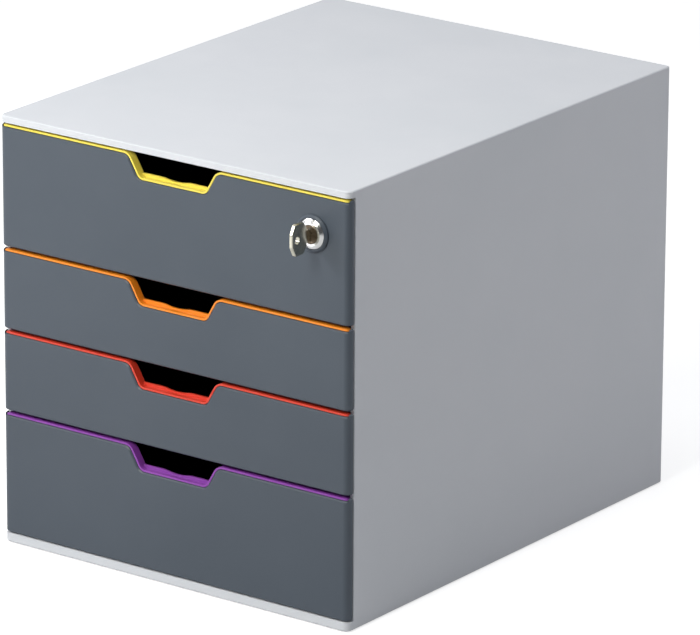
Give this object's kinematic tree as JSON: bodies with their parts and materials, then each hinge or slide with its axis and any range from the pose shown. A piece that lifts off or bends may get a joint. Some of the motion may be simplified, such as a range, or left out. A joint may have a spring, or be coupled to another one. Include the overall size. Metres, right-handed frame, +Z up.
{
  "type": "desktop file drawer",
  "caption": "Light grey desktop box with deep and shallow paper drawers, slate fronts with coloured finger-notch trims, and a cam lock with its key.",
  "frame": {"origin": "middle of the outer box, key included, on the plane of the feet", "axes": "+X to the right seen from the front, +Y to the back, +Z up; the drawers open towards -Y"},
  "size_m": [0.28, 0.3788, 0.292],
  "materials": {
    "casing_plastic": "satin light grey",
    "front_plastic": "satin slate grey",
    "tray_plastic": "satin near black",
    "runner_plastic": "satin mid grey",
    "yellow_plastic": "semi-gloss yellow",
    "orange_plastic": "semi-gloss orange",
    "red_plastic": "semi-gloss red",
    "purple_plastic": "semi-gloss purple",
    "foot_rubber": "matt dark grey",
    "chromed_zinc": "bright chrome",
    "nickelled_steel": "bright nickel, lightly worn",
    "zinc_plated_steel": "zinc plated",
    "plug_brass": "darkened brass"
  },
  "bodies": {
    "casing": {"casing_shell": "casing_plastic", "back_panel": "casing_plastic", "back_panel_screws": "zinc_plated_steel", "left_runner_frame": "runner_plastic", "right_runner_frame": "runner_plastic", "foot_front_left": "foot_rubber", "foot_front_right": "foot_rubber", "foot_rear_left": "foot_rubber", "foot_rear_right": "foot_rubber", "left_top_runner": "runner_plastic", "left_second_runner": "runner_plastic", "left_third_runner": "runner_plastic", "left_bottom_runner": "runner_plastic", "right_top_runner": "runner_plastic", "right_second_runner": "runner_plastic", "right_third_runner": "runner_plastic", "right_bottom_runner": "runner_plastic"},
    "top_drawer": {"top_tray": "tray_plastic", "top_front": "front_plastic", "top_grip_trim": "yellow_plastic", "lock_barrel": "chromed_zinc", "lock_nut": "zinc_plated_steel"},
    "second_drawer": {"second_tray": "tray_plastic", "second_front": "front_plastic", "second_grip_trim": "orange_plastic"},
    "third_drawer": {"third_tray": "tray_plastic", "third_front": "front_plastic", "third_grip_trim": "red_plastic"},
    "bottom_drawer": {"bottom_tray": "tray_plastic", "bottom_front": "front_plastic", "bottom_grip_trim": "purple_plastic"},
    "lock_core": {"lock_plug": "plug_brass", "lock_cam": "zinc_plated_steel", "cam_washer": "zinc_plated_steel", "cam_screw": "zinc_plated_steel"},
    "key": {"key": "nickelled_steel"}
  },
  "joints": [
    {"name": "top_drawer_slide", "type": "slide", "parent": "casing", "child": "top_drawer", "axis": [0, -1, 0], "range_m": [0, 0.24]},
    {"name": "second_drawer_slide", "type": "slide", "parent": "casing", "child": "second_drawer", "axis": [0, -1, 0], "range_m": [0, 0.24]},
    {"name": "third_drawer_slide", "type": "slide", "parent": "casing", "child": "third_drawer", "axis": [0, -1, 0], "range_m": [0, 0.24]},
    {"name": "bottom_drawer_slide", "type": "slide", "parent": "casing", "child": "bottom_drawer", "axis": [0, -1, 0], "range_m": [0, 0.24]},
    {"name": "lock_turn", "type": "hinge", "parent": "top_drawer", "child": "lock_core", "pos_m": [0.1114, -0.1666, 0.2602], "axis": [0, 1, 0], "range_deg": [0, 90]},
    {"name": "key_withdraw", "type": "slide", "parent": "lock_core", "child": "key", "axis": [0, -1, 0], "range_m": [0, 0.03]}
  ]
}
